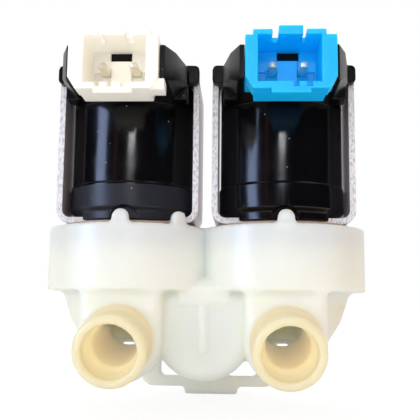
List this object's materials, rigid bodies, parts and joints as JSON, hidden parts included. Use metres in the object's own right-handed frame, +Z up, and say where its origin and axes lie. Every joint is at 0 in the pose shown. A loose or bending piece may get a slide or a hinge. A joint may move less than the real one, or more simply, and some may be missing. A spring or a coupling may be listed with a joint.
{
  "type": "washing machine inlet valve",
  "caption": "Solenoid water inlet valve with a threaded inlet and mounting flange, diaphragm chambers, sprung plungers, coils in steel yokes, plug sockets and hose spigots.",
  "frame": {"origin": "centre of the mounting flange's seating face, on the inlet's axis", "axes": "+Y out of the threaded inlet, +Z up along the coils, spigots and plug sockets towards -Y"},
  "size_m": [0.0794, 0.0735, 0.0851],
  "materials": {
    "natural_nylon": "natural moulded polyamide, ivory white, slightly translucent",
    "guide_nylon": "glass-filled moulded polyamide, beige",
    "filter_nylon": "moulded polyamide, white",
    "black_polyamide": "glossy black overmoulding",
    "white_polyamide": "moulded white",
    "blue_polyamide": "moulded bright blue",
    "zinc_steel": "zinc-plated steel strip with sheared edges",
    "stainless_steel": "ferritic stainless steel, turned",
    "copper_wire": "enamelled copper wire",
    "tinned_brass": "tinned brass pins",
    "black_rubber": "moulded rubber"
  },
  "bodies": {
    "valve": {"valve_body": "natural_nylon", "inlet_filter": "filter_nylon", "regulator_carrier": "filter_nylon", "regulator_washer": "black_rubber", "yoke_left": "zinc_steel", "flux_sleeve_lower_left": "zinc_steel", "flux_sleeve_upper_left": "zinc_steel", "armature_guide_left": "guide_nylon", "bobbin_left": "white_polyamide", "terminals_left": "tinned_brass", "winding_left": "copper_wire", "coil_cover_left": "black_polyamide", "plunger_spring_left": "stainless_steel", "diaphragm_left": "black_rubber", "yoke_right": "zinc_steel", "flux_sleeve_lower_right": "zinc_steel", "flux_sleeve_upper_right": "zinc_steel", "armature_guide_right": "guide_nylon", "bobbin_right": "blue_polyamide", "terminals_right": "tinned_brass", "winding_right": "copper_wire", "coil_cover_right": "black_polyamide", "plunger_spring_right": "stainless_steel", "diaphragm_right": "black_rubber"},
    "plunger_left": {"plunger_left": "stainless_steel", "plunger_tip_left": "black_rubber"},
    "insert_left": {"diaphragm_insert_left": "filter_nylon"},
    "plunger_right": {"plunger_right": "stainless_steel", "plunger_tip_right": "black_rubber"},
    "insert_right": {"diaphragm_insert_right": "filter_nylon"}
  },
  "joints": [
    {"name": "plunger_lift_left", "type": "slide", "parent": "valve", "child": "plunger_left", "axis": [0, 0, 1], "range_m": [0, 0.003], "stiffness_N_per_m": 150, "springref_m": -0.006, "deforming": ["plunger_spring_left"]},
    {"name": "diaphragm_lift_left", "type": "slide", "parent": "valve", "child": "insert_left", "axis": [0, 0, 1], "range_m": [0, 0.0018], "stiffness_N_per_m": 60, "springref_m": -0.001, "deforming": ["diaphragm_left"]},
    {"name": "plunger_lift_right", "type": "slide", "parent": "valve", "child": "plunger_right", "axis": [0, 0, 1], "range_m": [0, 0.003], "stiffness_N_per_m": 150, "springref_m": -0.006, "deforming": ["plunger_spring_right"]},
    {"name": "diaphragm_lift_right", "type": "slide", "parent": "valve", "child": "insert_right", "axis": [0, 0, 1], "range_m": [0, 0.0018], "stiffness_N_per_m": 60, "springref_m": -0.001, "deforming": ["diaphragm_right"]}
  ],
  "couplings": [
    {"joint": "diaphragm_lift_left", "follows": "plunger_lift_left", "ratio": 0.6},
    {"joint": "diaphragm_lift_right", "follows": "plunger_lift_right", "ratio": 0.6}
  ]
}
